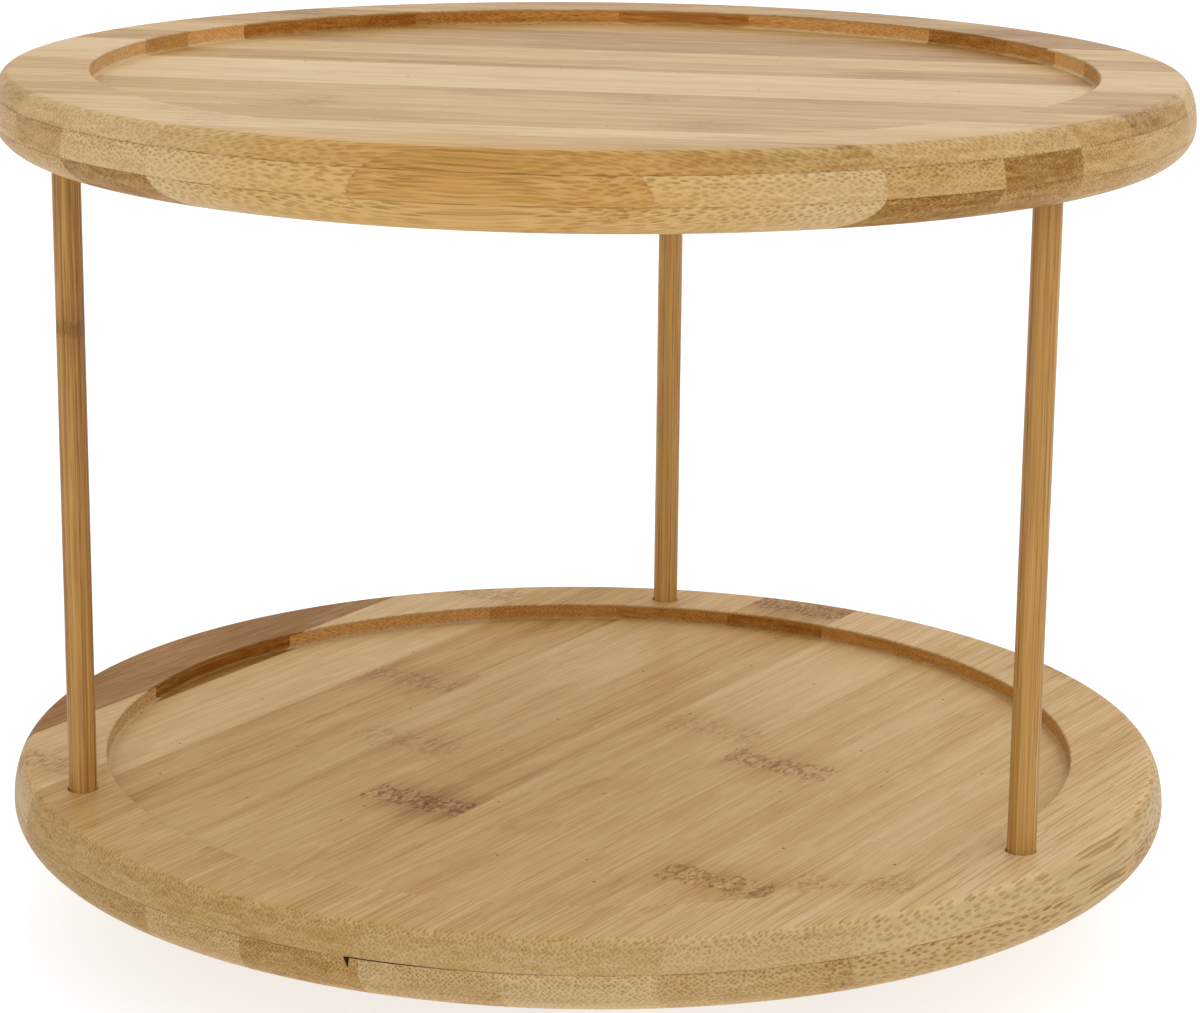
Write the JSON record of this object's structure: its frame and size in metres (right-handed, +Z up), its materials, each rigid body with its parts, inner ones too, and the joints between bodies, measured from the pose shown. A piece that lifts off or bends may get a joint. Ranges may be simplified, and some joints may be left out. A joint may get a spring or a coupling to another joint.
{
  "type": "lazy susan turntable",
  "caption": "Two-tier round bamboo turntable: shallow trays on dowel posts over a foot disc with a ball bearing, spinning without limit.",
  "frame": {"origin": "on the turning axis, at the underside of the rubber feet", "axes": "+Z up along the turning axis; +Y towards the back post at rest; the other two posts stand front left and front right"},
  "size_m": [0.254, 0.254, 0.184],
  "materials": {
    "tray_bamboo": "laminated bamboo, satin lacquer",
    "post_bamboo": "bamboo dowel, fine dark fibres, satin lacquer",
    "base_bamboo": "laminated bamboo, matt",
    "plated_steel": "zinc plated pressed sheet",
    "ball_steel": "polished, lightly oiled",
    "cage_nylon": "moulded natural nylon",
    "screw_steel": "zinc plated",
    "foot_rubber": "matt"
  },
  "bodies": {
    "base": {"base_disc": "base_bamboo", "bearing_lower_plate": "plated_steel", "base_screw_1": "screw_steel", "base_screw_2": "screw_steel", "base_screw_3": "screw_steel", "base_screw_4": "screw_steel", "foot_1": "foot_rubber", "foot_2": "foot_rubber", "foot_3": "foot_rubber", "foot_4": "foot_rubber", "foot_5": "foot_rubber", "foot_6": "foot_rubber"},
    "turntable": {"lower_tray": "tray_bamboo", "upper_tray": "tray_bamboo", "post_back": "post_bamboo", "post_left": "post_bamboo", "post_right": "post_bamboo", "bearing_upper_plate": "plated_steel", "tray_screw_1": "screw_steel", "tray_screw_2": "screw_steel", "tray_screw_3": "screw_steel", "tray_screw_4": "screw_steel"},
    "ball_ring": {"ball_cage": "cage_nylon", "bearing_ball_01": "ball_steel", "bearing_ball_02": "ball_steel", "bearing_ball_03": "ball_steel", "bearing_ball_04": "ball_steel", "bearing_ball_05": "ball_steel", "bearing_ball_06": "ball_steel", "bearing_ball_07": "ball_steel", "bearing_ball_08": "ball_steel", "bearing_ball_09": "ball_steel", "bearing_ball_10": "ball_steel", "bearing_ball_11": "ball_steel", "bearing_ball_12": "ball_steel", "bearing_ball_13": "ball_steel", "bearing_ball_14": "ball_steel", "bearing_ball_15": "ball_steel", "bearing_ball_16": "ball_steel", "bearing_ball_17": "ball_steel", "bearing_ball_18": "ball_steel", "bearing_ball_19": "ball_steel", "bearing_ball_20": "ball_steel", "bearing_ball_21": "ball_steel", "bearing_ball_22": "ball_steel", "bearing_ball_23": "ball_steel", "bearing_ball_24": "ball_steel"}
  },
  "joints": [
    {"name": "turntable_spin", "type": "hinge", "parent": "base", "child": "turntable", "pos_m": [0, 0, 0.018], "axis": [0, 0, 1], "continuous": true},
    {"name": "ball_ring_spin", "type": "hinge", "parent": "base", "child": "ball_ring", "pos_m": [0, 0, 0.0145], "axis": [0, 0, 1], "continuous": true}
  ],
  "couplings": [
    {"joint": "ball_ring_spin", "follows": "turntable_spin", "ratio": 0.5}
  ]
}
